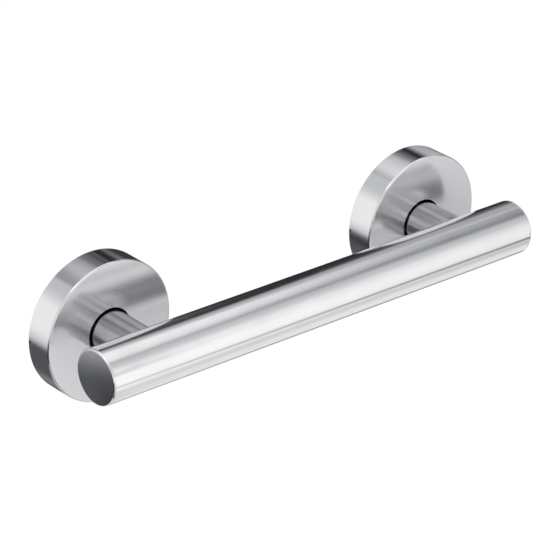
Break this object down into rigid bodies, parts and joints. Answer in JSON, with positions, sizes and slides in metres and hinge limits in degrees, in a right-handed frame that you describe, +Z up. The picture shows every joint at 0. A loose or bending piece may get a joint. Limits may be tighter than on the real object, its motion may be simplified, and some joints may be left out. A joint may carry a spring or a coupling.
{
  "type": "grab bar",
  "caption": "Straight wall grab bar: round polished tube with capped ends, held a hand's width off the wall by short posts whose screw-fixed flanges hide under round push-on covers.",
  "frame": {"origin": "on the wall, midway between the two posts' axes, at the height of the bar's axis", "axes": "+X along the bar, +Y into the wall so that the room is on the -Y side, +Z up the wall"},
  "size_m": [0.3124, 0.0698, 0.0826],
  "materials": {
    "polished_chrome": "mirror polished chrome plate",
    "turned_steel": "fine turned steel",
    "fastener_steel": "zinc plated steel",
    "turned_brass": "bare turned brass",
    "black_rubber": "matt black rubber"
  },
  "bodies": {
    "root": {"grip_tube": "polished_chrome", "end_cap_left": "polished_chrome", "end_cap_right": "polished_chrome", "end_cap_ring_left": "black_rubber", "end_cap_ring_right": "black_rubber", "tube_insert_left": "turned_brass", "tube_insert_right": "turned_brass", "post_left": "polished_chrome", "post_right": "polished_chrome", "tie_bolt_left": "fastener_steel", "tie_bolt_right": "fastener_steel", "spring_washer_left": "fastener_steel", "spring_washer_right": "fastener_steel", "mounting_flange_left": "turned_steel", "mounting_flange_right": "turned_steel", "wall_gasket_left": "black_rubber", "wall_gasket_right": "black_rubber", "cover_ring_left": "black_rubber", "cover_ring_right": "black_rubber", "flange_cover_left": "polished_chrome", "flange_cover_right": "polished_chrome"}
  },
  "joints": []
}
